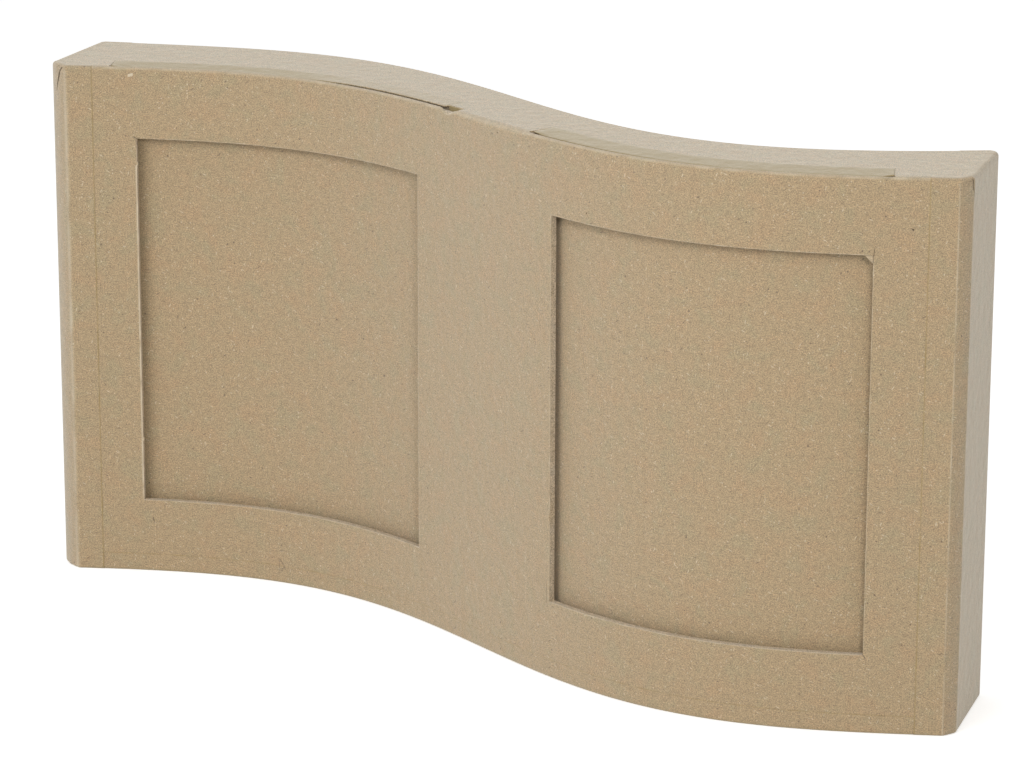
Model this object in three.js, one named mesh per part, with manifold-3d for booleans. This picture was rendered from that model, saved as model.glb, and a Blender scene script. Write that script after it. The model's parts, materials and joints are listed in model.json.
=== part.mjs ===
// Free-standing double photo frame in kraft-covered greyboard. Seen from above the body is one full wave:
// its left half bends away from the viewer and its right half bends towards them. Two windows look on to a
// backing board, and each has its own slot in the top for a print.
// Millimetres. +X runs along the wave to the viewer's right, the front faces -Y, and +Z is up.
// The origin is the centre of the base.
import * as THREE from "three";
import { mergeVertices } from "three/addons/utils/BufferGeometryUtils.js";
import Module from "manifold-3d";

// Overall size and the two waves
const HEIGHT = 190;
const WIDTH = 361.4; // from end face to end face, along the front's centre line
const WAVELENGTH = 356;
const MIDDLE_DEPTH = 35.1; // front to rear where the wave crosses its centre line
const FRONT_WAVE = 25.4; // how far the front swings to each side of its centre line
const REAR_WAVE = 28; // the same for the rear, which bends a little more
const END_FLARE = 14.6; // how much further back the rear lies half a wavelength from the middle
const LEFT_END_LEAN = 8.3; // degrees by which the end face turns towards -X on its way to the rear
const RIGHT_END_LEAN = 11.3;
const ACUTE_CORNER_RADIUS = 5.2; // front left
const OBTUSE_CORNER_RADIUS = 4.8; // front right
const REAR_CORNER_RADIUS = 3;

// Sheet materials
const BOARD = 2; // greyboard
const PAPER = 0.4; // kraft covering paper
const GLUE = 0.1; // glue line between two layers
const CHANNEL = 2.4; // depth of the space that holds a print, set by the spacers

// Front face
const STILE = 24.8; // board left beside each window at the ends
const PILLAR = 68.8; // board left between the windows
const TOP_RAIL = 26.1;
const BOTTOM_RAIL = 27.6;

// Top slots: how far each passes its window to the left and right, how far behind the front board its flap
// is folded, how short the flap stops of the slot's right end, and how far from the slot's left end the flap
// is still fully pushed down and has come level. The right flap is pushed down from end to end.
const LEFT_SLOT = {
  pastLeft: 8.7,
  pastRight: 18.9,
  fold: 9,
  rightGap: 8,
  pushedTo: 60,
  levelFrom: 95,
};
const RIGHT_SLOT = {
  pastLeft: 12.4,
  pastRight: 5.5,
  fold: 10.6,
  rightGap: 0.4,
  pushedTo: 140,
  levelFrom: 145,
};
const FLAP_SLIT = 0.4; // the cut at both ends of a flap
const FLAP_DROP = 0.7; // how far the flap's free edge is pushed down
const LEVEL_DROP = 0.2; // how far it lies below the top where it has come level
const FLAP_CLEARANCE = 0.4; // under the flap, to the backing board

const PRINT_STOP = 7; // height of the strip that a print stands on
const END_PAPER_LAP = 8; // how far the end papers turn on to the front and rear
const BASE_PAPER_LAP = 6.5; // how far the base paper turns up the front and rear
const PAPER_SEAM = 0.3; // between two papers laid edge to edge

// How finely the curves are sampled
const WAVE_STEPS = 60;
const CORNER_STEP = Math.PI / 16;
const CORRECTION_ROUNDS = 40;

// Depths below the outer surface
const UNDER_PAPER = PAPER + GLUE;
const UNDER_BOARD = UNDER_PAPER + BOARD + GLUE;
const SPACER_BACK = UNDER_BOARD + CHANNEL;
const BACKING_PAPER_FACE = SPACER_BACK + GLUE;
const BACKING_FACE = BACKING_PAPER_FACE + UNDER_PAPER;

const wavePhase = (x) => (2 * Math.PI * x) / WAVELENGTH;

// The front and rear surfaces seen from above. inward is the way from the surface to the body, along Y.
const front = {
  inward: 1,
  y: (x) => -MIDDLE_DEPTH / 2 - FRONT_WAVE * Math.sin(wavePhase(x)),
  slope: (x) => (-2 * Math.PI * FRONT_WAVE * Math.cos(wavePhase(x))) / WAVELENGTH,
};
const rear = {
  inward: -1,
  y: (x) => MIDDLE_DEPTH / 2 - REAR_WAVE * Math.sin(wavePhase(x)) + END_FLARE * ((2 * x) / WAVELENGTH) ** 2,
  slope: (x) =>
    (-2 * Math.PI * REAR_WAVE * Math.cos(wavePhase(x))) / WAVELENGTH + (8 * END_FLARE * x) / WAVELENGTH ** 2,
};

// Both end faces seen from above: a point on each, the way out there, and how far it leans
function endFace(side, degrees) {
  const lean = THREE.MathUtils.degToRad(degrees);
  return {
    side,
    lean,
    point: [(side * WIDTH) / 2, -MIDDLE_DEPTH / 2],
    out: [side * Math.cos(lean), side * Math.sin(lean)],
  };
}

const leftEnd = endFace(-1, LEFT_END_LEAN);
const rightEnd = endFace(1, RIGHT_END_LEAN);

// The point that lies inset below the surface at x, measured square to the surface.
function below(surface, x, inset) {
  const slope = surface.slope(x);
  const scale = (surface.inward * inset) / Math.hypot(1, slope);
  return [x - slope * scale, surface.y(x) + scale];
}

// The x of the surface point whose inset point lies as deep under the end face too, found by correcting a
// first guess.
function surfacePointFor(surface, end, inset) {
  let x = end.point[0];
  for (let round = 0; round < CORRECTION_ROUNDS; round++) {
    const [px, py] = below(surface, x, inset);
    const beyond = (px - end.point[0]) * end.out[0] + (py - end.point[1]) * end.out[1];
    x -= end.side * (beyond + inset);
  }
  return x;
}

// A rounded corner between a surface and an end face
function roundedCorner(surface, end, radius) {
  const start = surfacePointFor(surface, end, radius);
  const centre = below(surface, start, radius);
  const outer = below(surface, start, 0);
  const first = Math.atan2(outer[1] - centre[1], outer[0] - centre[0]);
  const halfTurn = first > 0 ? Math.PI : -Math.PI;
  const last = end.side > 0 ? end.lean : end.lean + halfTurn;
  return { start, centre, radius, first, last };
}

const corners = {
  frontLeft: roundedCorner(front, leftEnd, ACUTE_CORNER_RADIUS),
  frontRight: roundedCorner(front, rightEnd, OBTUSE_CORNER_RADIUS),
  rearLeft: roundedCorner(rear, leftEnd, REAR_CORNER_RADIUS),
  rearRight: roundedCorner(rear, rightEnd, REAR_CORNER_RADIUS),
};

// Points round a corner from its wave surface to its end face.
function cornerArc(corner, inset) {
  const radius = Math.max(corner.radius - inset, GLUE);
  const turn = corner.last - corner.first;
  const steps = Math.ceil(Math.abs(turn) / CORNER_STEP);
  return Array.from({ length: steps + 1 }, (_, i) => {
    const angle = corner.first + (turn * i) / steps;
    return [corner.centre[0] + radius * Math.cos(angle), corner.centre[1] + radius * Math.sin(angle)];
  });
}

// The x values from a to b at which every wave surface is sampled.
function stations(a, b) {
  const step = WIDTH / WAVE_STEPS;
  const inner = Array.from({ length: WAVE_STEPS + 1 }, (_, i) => i * step - WIDTH / 2);
  return [a, ...inner.filter((x) => x > a + step / 4 && x < b - step / 4), b];
}

const wavePoints = (surface, a, b, inset) => stations(a, b).map((x) => below(surface, x, inset));

// The whole outline of the body, anticlockwise from the front left corner.
function bodyOutline(inset) {
  const { frontLeft, frontRight, rearLeft, rearRight } = corners;
  const points = [
    ...wavePoints(front, frontLeft.start, frontRight.start, inset),
    ...cornerArc(frontRight, inset).slice(1),
    ...cornerArc(rearRight, inset).reverse(),
    ...wavePoints(rear, rearLeft.start, rearRight.start, inset).reverse().slice(1, -1),
    ...cornerArc(rearLeft, inset),
    ...cornerArc(frontLeft, inset).reverse().slice(0, -1),
  ];
  return points;
}

// A strip that follows one wave surface from a to b, between two depths below it.
function waveStrip(surface, a, b, outer, inner) {
  return [...wavePoints(surface, a, b, outer), ...wavePoints(surface, a, b, inner).reverse()];
}

// A strip round one end: from lap past the front corner, over the end face, to lap past the rear corner.
function endStrip(side, lap, outer, inner) {
  const frontCorner = side > 0 ? corners.frontRight : corners.frontLeft;
  const rearCorner = side > 0 ? corners.rearRight : corners.rearLeft;
  const run = (inset) => {
    // From the lap's free edge up to the corner
    const lapPoints = (surface, corner) => {
      if (!lap) return [];
      const points =
        side > 0
          ? wavePoints(surface, corner.start - lap, corner.start, inset)
          : wavePoints(surface, corner.start, corner.start + lap, inset).reverse();
      return points.slice(0, -1);
    };
    return [
      ...lapPoints(front, frontCorner),
      ...cornerArc(frontCorner, inset),
      ...cornerArc(rearCorner, inset).reverse(),
      ...lapPoints(rear, rearCorner).reverse(),
    ];
  };
  return [...run(outer), ...run(inner).reverse()];
}

// Where the origin lies: the middle of the outline's box
const middleOf = (values) => (Math.min(...values) + Math.max(...values)) / 2;
const CENTRE_X = middleOf(bodyOutline(0).map((point) => point[0]));
const CENTRE_Y = middleOf(bodyOutline(0).map((point) => point[1]));

// Windows and slots, as x values on the front surface
const panelStart = corners.frontLeft.start;
const panelEnd = corners.frontRight.start;
const windowWidth = (panelEnd - panelStart - 2 * STILE - PILLAR) / 2;
const leftWindow = { start: panelStart + STILE, end: panelStart + STILE + windowWidth };
const rightWindow = { start: panelEnd - STILE - windowWidth, end: panelEnd - STILE };
const windowSpan = { bottom: BOTTOM_RAIL, top: HEIGHT - TOP_RAIL };
const slotOf = (window, slot) => ({
  start: window.start - slot.pastLeft,
  end: window.end + slot.pastRight,
  fold: UNDER_BOARD + slot.fold,
  flapStart: window.start - slot.pastLeft + FLAP_SLIT,
  flapEnd: window.end + slot.pastRight - slot.rightGap,
  pushedTo: window.start - slot.pastLeft + slot.pushedTo,
  levelFrom: window.start - slot.pastLeft + slot.levelFrom,
});
const leftSlot = slotOf(leftWindow, LEFT_SLOT);
const rightSlot = slotOf(rightWindow, RIGHT_SLOT);

// Levels
const sideBottom = UNDER_PAPER;
const sideTop = HEIGHT - UNDER_PAPER;
const aboveBase = UNDER_BOARD;
const belowTop = HEIGHT - UNDER_BOARD;
const backingTop = sideTop - BOARD - FLAP_DROP - FLAP_CLEARANCE;

const wasm = await Module();
wasm.setup();

function toSolid(geometry) {
  const bare = geometry.clone();
  bare.deleteAttribute("normal");
  bare.deleteAttribute("uv");
  const merged = mergeVertices(bare, 1e-4);
  return new wasm.Manifold(
    new wasm.Mesh({
      numProp: 3,
      vertProperties: merged.attributes.position.array,
      triVerts: new Uint32Array(merged.index.array),
    }),
  );
}

function toGeometry(solid) {
  const mesh = solid.getMesh();
  const geometry = new THREE.BufferGeometry();
  geometry.setAttribute("position", new THREE.BufferAttribute(mesh.vertProperties, 3));
  geometry.setIndex(new THREE.BufferAttribute(mesh.triVerts, 1));
  geometry.computeVertexNormals();
  return geometry;
}

// A flat or upright sheet: a plan outline raised from bottom to top.
function raise(outline, bottom, top) {
  const shape = new THREE.Shape(outline.map(([x, y]) => new THREE.Vector2(x - CENTRE_X, y - CENTRE_Y)));
  const geometry = new THREE.ExtrudeGeometry(shape, { depth: top - bottom, bevelEnabled: false });
  return toSolid(geometry.translate(0, 0, bottom));
}

// A block that cuts one window square to the front, through paper and board.
function windowCutter(window) {
  const outline = waveStrip(front, window.start, window.end, -PAPER, UNDER_BOARD);
  return raise(outline, windowSpan.bottom, windowSpan.top);
}

const cutWindows = (solid) => solid.subtract(windowCutter(leftWindow)).subtract(windowCutter(rightWindow));

// What a slot takes out of the top, from the depth lip on: the channel's mouth and the notch for the flap.
function slotCutter(slot, lip, bottom, top) {
  const mouth = waveStrip(front, slot.start, slot.end, lip, SPACER_BACK);
  const notch = waveStrip(front, slot.start, slot.flapEnd + FLAP_SLIT, lip, slot.fold);
  return raise(mouth, bottom, top).add(raise(notch, bottom, top));
}

// The flap that a slot's fold leaves: a sheet that slopes from the fold down to its free edge. Its root is
// let into the sheet that it is part of, a hair below the surface, so that the two join in one solid.
function flap(slot, top, thickness) {
  const rootLap = 0.3;
  const sink = 0.02;
  const bottom = top - thickness;
  const free = SPACER_BACK;
  const fold = slot.fold;
  const section = (drop) => [
    [free, bottom - drop],
    [fold, bottom + sink],
    [fold + rootLap, bottom + sink],
    [fold + rootLap, top - sink],
    [fold, top - sink],
    [free, top - drop],
  ];
  const rings = stations(slot.flapStart, slot.flapEnd).map((x) => {
    const level = THREE.MathUtils.smoothstep(x, slot.pushedTo, slot.levelFrom);
    return section(THREE.MathUtils.lerp(FLAP_DROP, LEVEL_DROP, level)).map(([inset, z]) => {
      const [px, py] = below(front, x, inset);
      return [px - CENTRE_X, py - CENTRE_Y, z];
    });
  });
  const count = rings[0].length;
  const lastRing = (rings.length - 1) * count;
  const faces = [];
  for (let ring = 0; ring < rings.length - 1; ring++) {
    for (let i = 0; i < count; i++) {
      const a = ring * count + i;
      const b = ring * count + ((i + 1) % count);
      faces.push(a, b, a + count, b, b + count, a + count);
    }
  }
  const cap = THREE.ShapeUtils.triangulateShape(
    section(FLAP_DROP).map(([inset, z]) => new THREE.Vector2(inset, z)),
    [],
  );
  for (const [a, b, c] of cap) {
    faces.push(c, b, a);
    faces.push(lastRing + a, lastRing + b, lastRing + c);
  }
  const geometry = new THREE.BufferGeometry();
  geometry.setAttribute("position", new THREE.Float32BufferAttribute(rings.flat(2), 3));
  geometry.setIndex(faces);
  return toSolid(geometry);
}

// The top sheets: a body outline with both slots, each with its flap. Each slot starts at the depth lip.
function slottedSheet(inset, lip, bottom, top) {
  const thickness = top - bottom;
  let sheet = raise(bodyOutline(inset), bottom, top);
  for (const slot of [leftSlot, rightSlot]) {
    sheet = sheet.subtract(slotCutter(slot, lip, bottom - thickness, top + thickness));
    sheet = sheet.add(flap(slot, top, thickness));
  }
  return sheet;
}

const greyboard = () => new THREE.MeshStandardMaterial({ color: 0xa68d6b, roughness: 0.95, metalness: 0 });
const kraftPaper = () => new THREE.MeshStandardMaterial({ color: 0xb59c78, roughness: 0.9, metalness: 0 });

const frame = new THREE.Group();
const boards = new THREE.Group();
const channel = new THREE.Group();
const papers = new THREE.Group();
frame.add(boards, channel, papers);

function addPiece(group, name, solid, material) {
  const mesh = new THREE.Mesh(toGeometry(solid), material);
  mesh.name = name;
  group.add(mesh);
}

// Boards: two bent panels, two end panels bent round the corners, and the flat top and base inside them
const boardBack = UNDER_PAPER + BOARD;
const frontPanel = waveStrip(front, panelStart + GLUE, panelEnd - GLUE, UNDER_PAPER, boardBack);
addPiece(boards, "front_panel", cutWindows(raise(frontPanel, sideBottom, sideTop)), greyboard());
const rearStart = corners.rearLeft.start + GLUE;
const rearEnd = corners.rearRight.start - GLUE;
const rearPanel = waveStrip(rear, rearStart, rearEnd, UNDER_PAPER, boardBack);
addPiece(boards, "rear_panel", raise(rearPanel.reverse(), sideBottom, sideTop), greyboard());
for (const [name, side] of [["left_end_panel", -1], ["right_end_panel", 1]]) {
  const strip = endStrip(side, 0, UNDER_PAPER, boardBack);
  addPiece(boards, name, raise(strip, sideBottom, sideTop), greyboard());
}
addPiece(boards, "base_panel", raise(bodyOutline(UNDER_BOARD), sideBottom, sideBottom + BOARD), greyboard());
const topPanel = slottedSheet(UNDER_BOARD, UNDER_PAPER, sideTop - BOARD, sideTop);
addPiece(boards, "top_panel", topPanel, greyboard());
const backing = waveStrip(front, panelStart + GLUE, panelEnd - GLUE, BACKING_FACE, BACKING_FACE + BOARD);
addPiece(boards, "backing_panel", raise(backing, aboveBase, backingTop), greyboard());

// The print channels: spacers beside them and a stop under each
const spacers = [
  ["left_spacer", panelStart + GLUE, leftSlot.start],
  ["middle_spacer", leftSlot.end, rightSlot.start],
  ["right_spacer", rightSlot.end, panelEnd - GLUE],
];
for (const [name, start, end] of spacers) {
  const strip = waveStrip(front, start, end, UNDER_BOARD, SPACER_BACK);
  addPiece(channel, name, raise(strip, aboveBase, belowTop), greyboard());
}
for (const [name, slot] of [["left_print_stop", leftSlot], ["right_print_stop", rightSlot]]) {
  const strip = waveStrip(front, slot.start + GLUE, slot.end - GLUE, UNDER_BOARD, SPACER_BACK);
  addPiece(channel, name, raise(strip, aboveBase, aboveBase + PRINT_STOP), greyboard());
}

// Covering papers, laid edge to edge
const beyondLap = END_PAPER_LAP + PAPER_SEAM;
const frontPaper = waveStrip(front, panelStart + beyondLap, panelEnd - beyondLap, 0, PAPER);
const rearPaper = waveStrip(rear, rearStart + beyondLap, rearEnd - beyondLap, 0, PAPER);
const paperBottom = BASE_PAPER_LAP + PAPER_SEAM;
addPiece(papers, "front_paper", cutWindows(raise(frontPaper, paperBottom, sideTop)), kraftPaper());
addPiece(papers, "rear_paper", raise(rearPaper, paperBottom, sideTop), kraftPaper());
for (const [name, side] of [["left_end_paper", -1], ["right_end_paper", 1]]) {
  addPiece(papers, name, raise(endStrip(side, END_PAPER_LAP, 0, PAPER), sideBottom, sideTop), kraftPaper());
}
addPiece(papers, "top_paper", slottedSheet(0, UNDER_BOARD, HEIGHT - PAPER, HEIGHT), kraftPaper());
const basePaper = raise(bodyOutline(0), 0, PAPER)
  .add(raise(frontPaper, 0, BASE_PAPER_LAP))
  .add(raise(rearPaper, 0, BASE_PAPER_LAP));
addPiece(papers, "base_paper", basePaper, kraftPaper());
const paperBack = BACKING_PAPER_FACE + PAPER;
const backingPaper = waveStrip(front, panelStart + GLUE, panelEnd - GLUE, BACKING_PAPER_FACE, paperBack);
addPiece(papers, "backing_paper", raise(backingPaper, aboveBase, backingTop), kraftPaper());

export default frame;
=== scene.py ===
"""Dresses the free-standing double photo frame: kraft paper covers bent round the wave-shaped body, slot
flaps, the backing seen through both windows, raw board edges, and a plain studio stage."""

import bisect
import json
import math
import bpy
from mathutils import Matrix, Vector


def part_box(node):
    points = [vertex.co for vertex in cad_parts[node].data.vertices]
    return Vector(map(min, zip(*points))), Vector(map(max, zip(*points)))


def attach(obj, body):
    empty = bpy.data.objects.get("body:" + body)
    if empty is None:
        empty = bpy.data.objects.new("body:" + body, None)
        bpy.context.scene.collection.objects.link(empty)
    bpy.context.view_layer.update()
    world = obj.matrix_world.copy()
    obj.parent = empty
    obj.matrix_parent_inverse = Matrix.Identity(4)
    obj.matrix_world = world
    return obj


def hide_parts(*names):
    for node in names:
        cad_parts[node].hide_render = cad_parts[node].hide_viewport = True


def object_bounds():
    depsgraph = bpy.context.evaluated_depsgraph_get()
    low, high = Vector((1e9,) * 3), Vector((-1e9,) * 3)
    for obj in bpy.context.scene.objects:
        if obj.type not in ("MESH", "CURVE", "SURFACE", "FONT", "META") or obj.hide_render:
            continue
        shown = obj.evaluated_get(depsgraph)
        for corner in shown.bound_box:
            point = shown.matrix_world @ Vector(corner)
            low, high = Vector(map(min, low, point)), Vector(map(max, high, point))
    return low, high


bl_info = {
    "name": "Wave photo frame",
    "version": (1, 0, 0),
    "blender": (4, 5, 0),
    "location": "View3D > Sidebar > Photo frame",
    "description": "Builds the paper covers, board finish and studio stage of a wave-shaped photo frame",
    "category": "Object",
}

import bmesh
import bpy
from bpy.props import FloatProperty, FloatVectorProperty, PointerProperty
from bpy.types import Operator, Panel, PropertyGroup
from mathutils import Matrix, Vector, noise

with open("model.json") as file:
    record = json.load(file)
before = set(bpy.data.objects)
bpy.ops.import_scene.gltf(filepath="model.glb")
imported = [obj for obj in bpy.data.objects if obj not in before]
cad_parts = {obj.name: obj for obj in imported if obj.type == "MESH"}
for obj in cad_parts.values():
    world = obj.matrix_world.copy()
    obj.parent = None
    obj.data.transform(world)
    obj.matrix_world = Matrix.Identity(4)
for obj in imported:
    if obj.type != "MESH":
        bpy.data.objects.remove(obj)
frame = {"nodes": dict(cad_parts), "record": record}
CAD_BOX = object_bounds()
BODY = "root"

CAD_SIZE = CAD_BOX[1] - CAD_BOX[0]
MM = 0.001
# The mask of painted shade: on the flaps, in the mouth of the left slot, along the edges of laps and along
# the foot
PAINTED_SHADE = "painted_shade"
# The mask that pales crests, creases and cut edges, partly as wear and partly as painted highlight, and gives
# a fleck and the scrap their pale colour
WEAR_AND_HIGHLIGHT = "worn"
PULP = "recycled_pulp"

# How far the front, rear and base papers reach under the laps of the end papers
UNDER_LAP = 4 * MM
# Stations beside the edge of a lap, between which its shade fades
LAP_STATIONS = (0.15 * MM, 0.45 * MM)
# Strength of the painted shadow along the edges of laps and of the painted shade along the foot
LAP_SHADE = 1.5
# How deep the tears go at the front and at its corners, and how far a cutter stands proud
FRONT_CUT = 1.5 * MM
CORNER_CUT = 1.4 * MM
CUT_ABOVE = 0.4 * MM
RIM_STEPS = 8
FOOT_STEPS = 6


def length(name, description, default):
    """A size in metres that a user can change."""
    return FloatProperty(name=name, description=description, default=default, unit="LENGTH", precision=5)


def angle(name, description, degrees):
    """An angle that a user can change."""
    return FloatProperty(name=name, description=description, default=math.radians(degrees), subtype="ANGLE")


def share(name, description, default):
    """A share from 0 to 1."""
    return FloatProperty(name=name, description=description, default=default, min=0, max=1, subtype="FACTOR")


def colour(name, description, default):
    """A linear colour that a user can change."""
    return FloatVectorProperty(
        name=name, description=description, default=default, subtype="COLOR", size=3, min=0, max=1
    )


def power(name, description, default):
    """The power of a light."""
    return FloatProperty(name=name, description=description, default=default, subtype="POWER")


class WaveFrameBody(PropertyGroup):
    """The bent box: both waves, the leaning ends and the four upright corners."""

    height: length("Height", "From the base to the top", CAD_SIZE.z)
    width: length("Width", "From end face to end face, along the front's centre line", 361.4 * MM)
    wavelength: length("Wavelength", "Length of one full wave", 356 * MM)
    middle_depth: length("Middle depth", "Front to rear where the wave crosses its centre line", 35.1 * MM)
    front_wave: length("Front wave", "How far the front swings to each side", 25.4 * MM)
    rear_wave: length("Rear wave", "How far the rear swings to each side", 28 * MM)
    end_flare: length("End flare", "How much further back the rear lies half a wavelength out", 14.6 * MM)
    left_lean: angle("Left end lean", "Turn of the left end face towards -X on its way back", 8.3)
    right_lean: angle("Right end lean", "Turn of the right end face towards -X on its way back", 11.3)
    front_left_radius: length("Front left corner", "Radius of the acute corner", 5.2 * MM)
    front_right_radius: length("Front right corner", "Radius of the obtuse corner", 4.8 * MM)
    rear_radius: length("Rear corners", "Radius of both rear corners", 3 * MM)
    left_facet: length("Left facet width", "Radius that the front left facet is laid against", 6.5 * MM)
    left_flat: share("Left facet", "How far the front left corner is flattened between its creases", 0.7)
    right_flat: share("Right facet", "How far the front right corner is flattened between its creases", 0.75)


class WaveFrameWindows(PropertyGroup):
    """Windows and slots, measured along the front."""

    stile: length("Stile", "Board beside each window at the ends", 24.8 * MM)
    pillar: length("Pillar", "Board between the windows", 68.8 * MM)
    top_rail: length("Top rail", "Board above the windows", 26.1 * MM)
    bottom_rail: length("Bottom rail", "Board below the windows", 27.6 * MM)
    under_paper: length("Board depth", "From the front surface to the face of the front board", 0.5 * MM)
    board: length("Board", "Thickness of the front board", 2 * MM)
    channel_front: length("Channel front", "From the front surface to the print channel", 2.6 * MM)
    channel_back: length("Channel back", "From the front surface to the back of the channel", 5 * MM)
    backing: length("Backing depth", "From the front surface to the backing paper", 5.1 * MM)
    left_past_left: length("Left slot, left", "How far it passes its window to the left", 8.7 * MM)
    left_past_right: length("Left slot, right", "How far it passes its window to the right", 18.9 * MM)
    left_fold: length("Left flap", "From the channel's front to the flap's fold", 9 * MM)
    left_gap: length("Left flap gap", "Open end of the slot beside its flap", 8 * MM)
    right_past_left: length("Right slot, left", "How far it passes its window to the left", 12.4 * MM)
    right_past_right: length("Right slot, right", "How far it passes its window to the right", 5.5 * MM)
    right_fold: length("Right flap", "From the channel's front to the flap's fold", 10.6 * MM)
    slit: length("Slit", "Cut at both ends of a flap", 0.08 * MM)
    flap_drop: length("Flap drop", "How far the free edge of a flap is pushed down", 0.7 * MM)
    level_drop: length("Level drop", "How low it lies where it has come level", 0.2 * MM)
    closed_tip: length("Closed tip", "Depth of the left flap's free edge where it is pushed down", 3.1 * MM)
    level_tip: length("Level tip", "Depth of the left flap's free edge where it has come level", 3.12 * MM)
    middle_tip: length("Right tip", "Depth of the right flap's free edge", 3.5 * MM)
    pushed_to: length("Pushed part", "Length of the left flap that is fully pushed down", 60 * MM)
    level_from: length("Level part", "Where along the left slot its flap has come level", 95 * MM)


class WaveFramePaper(PropertyGroup):
    """The covering paper: how it is laid, and its colours."""

    step: length("Lap step", "How far each paper lies above the one below it", 0.1 * MM)
    thickness: length("Paper", "Thickness of the paper", 0.38 * MM)
    rim: length("Rim radius", "Radius at which the paper turns over the top edge", 1.5 * MM)
    worn_rim: length("Worn rim radius", "Radius of the softer edge above the pillar", 2.3 * MM)
    foot: length("Foot radius", "Radius at which the paper turns under the base", 1.1 * MM)
    turn_over: length("Turn over", "How far the paper reaches over the top and the base", 2.9 * MM)
    closed_lip: length("Closed lip", "How much lower the lip lies where the left slot is closed", 0.02 * MM)
    open_lip: length("Open lip", "How much lower it lies where the left slot is open", 0.2 * MM)
    middle_lip: length("Right lip", "How much lower it lies in front of the right slot", 0.16 * MM)
    dent: length("Dent", "How far the lip is pushed in at the open end of the left slot", 1.3 * MM)
    end_lap: length("End lap", "How far the end papers turn on to the front and the rear", 9.5 * MM)
    base_lap: length("Base lap", "How far the base paper turns up the front and the rear", 6.5 * MM)
    ragged: length("Ragged edge", "How far a cut edge wanders", 0.12 * MM)
    base: colour("Kraft", "Main colour of the paper", (0.412, 0.302, 0.173))
    warm: colour("Warm patches", "Pinkish patches in the recycled pulp", (0.425, 0.298, 0.168))
    cool: colour("Cool patches", "Grey-green patches in the recycled pulp", (0.392, 0.304, 0.176))
    dark: colour("Dark specks", "Dark fibres and specks", (0.1, 0.06, 0.035))
    light: colour("Light specks", "Pale fibres and specks", (0.8, 0.72, 0.55))
    # This colour is painted shade: on the flaps, where their tilt weakens the sheen, in the mouth of the left
    # slot, along the edges of laps and along the foot
    painted_shade: colour("Pressed paper", "Paper darkened by handling on the flaps", (0.3, 0.205, 0.045))
    # This colour pales crests, creases and the cut edges of the windows, partly as wear and partly as painted
    # highlight, and gives a fleck and the scrap their pale colour
    worn: colour("Worn paper", "Paper rubbed pale along creases and rims", (0.66, 0.57, 0.42))


class WaveFrameBoard(PropertyGroup):
    """The greyboard under the paper."""

    base: colour("Greyboard", "Main colour of the cut board", (0.5, 0.41, 0.3))
    warm: colour("Brown layers", "Browner layers in the board", (0.45, 0.36, 0.25))
    cool: colour("Grey layers", "Greyer layers in the board", (0.47, 0.4, 0.31))


class WaveFrameStage(PropertyGroup):
    """Floor, lights and camera."""

    floor: colour("Floor", "Colour of the floor", (0.86, 0.86, 0.86))
    world: FloatProperty(name="World", description="Strength of the light from all round", default=0.38)
    key: power("Key light", "Power of the main light", 17.8)
    top: power("Top light", "Power of the overhead light", 4.4)
    side: power("Side light", "Power of the small light right of the camera", 7.2)


SETTINGS = {
    "wave_frame_body": WaveFrameBody,
    "wave_frame_windows": WaveFrameWindows,
    "wave_frame_paper": WaveFramePaper,
    "wave_frame_board": WaveFrameBoard,
    "wave_frame_stage": WaveFrameStage,
}


# Numbers


def smooth(share):
    """0 to 1, with a soft start and end."""
    share = min(max(share, 0), 1)
    return share * share * (3 - 2 * share)


def mixed(a, b, share):
    """The value that lies a share of the way from a to b."""
    return a + (b - a) * share


def span_at(stations, value):
    """The number of the span between two stations that holds value, and the share of it below value."""
    i = min(max(bisect.bisect_right(stations, value) - 1, 0), len(stations) - 2)
    return i, (value - stations[i]) / (stations[i + 1] - stations[i])


# The body seen from above


class Wave:
    """A bent face seen from above. inward is 1 where the body lies on its +Y side, and -1 otherwise."""

    def __init__(self, inward, middle, swing, flare, wavelength):
        self.inward = inward
        self.middle = middle
        self.swing = swing
        self.flare = flare
        self.wavelength = wavelength

    def y(self, x):
        """How far back the face lies."""
        bend = self.swing * math.sin(math.tau * x / self.wavelength)
        return self.middle - bend + self.flare * (2 * x / self.wavelength) ** 2

    def slope(self, x):
        """How steeply y rises."""
        bend = math.tau * self.swing * math.cos(math.tau * x / self.wavelength) / self.wavelength
        return 8 * self.flare * x / self.wavelength**2 - bend

    def outward(self, x):
        """The unit normal out of the body."""
        return Vector((self.slope(x), -1)).normalized() * self.inward

    def below(self, x, depth):
        """The point at depth below the face."""
        return Vector((x, self.y(x))) - self.outward(x) * depth


class EndFace:
    """A flat end seen from above, with side -1 at the left and 1 at the right."""

    def __init__(self, body, side, lean):
        self.side = side
        self.lean = lean
        self.point = Vector((side * body.width / 2, -body.middle_depth / 2))
        self.out = Vector((math.cos(lean), math.sin(lean))) * side


class Corner:
    """A rounded upright corner between a wave and an end face. The share flat brings it to its chord."""

    ROUNDS = 40

    def __init__(self, wave, end, radius, flat=0):
        x = end.point.x
        for _ in range(self.ROUNDS):
            beyond = (wave.below(x, radius) - end.point).dot(end.out)
            x -= end.side * (beyond + radius)
        outward = wave.outward(x)
        self.start = x
        self.radius = radius
        self.flat = flat
        self.centre = wave.below(x, radius)
        self.first = math.atan2(outward.y, outward.x)
        self.last = end.lean if end.side > 0 else end.lean + math.copysign(math.pi, self.first)

    def outward_at(self, share):
        """The direction out of the corner, a share of the way round it."""
        turn = self.first + (self.last - self.first) * share
        return Vector((math.cos(turn), math.sin(turn)))

    def at(self, share):
        """The point a share of the way round, the direction out of it, and the fully round corner's point."""
        outward = self.outward_at(share)
        round_point = self.centre + outward * self.radius
        ends = [self.centre + self.outward_at(k) * self.radius for k in (0, 1)]
        return round_point.lerp(ends[0].lerp(ends[1], share), self.flat), outward, round_point


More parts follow.
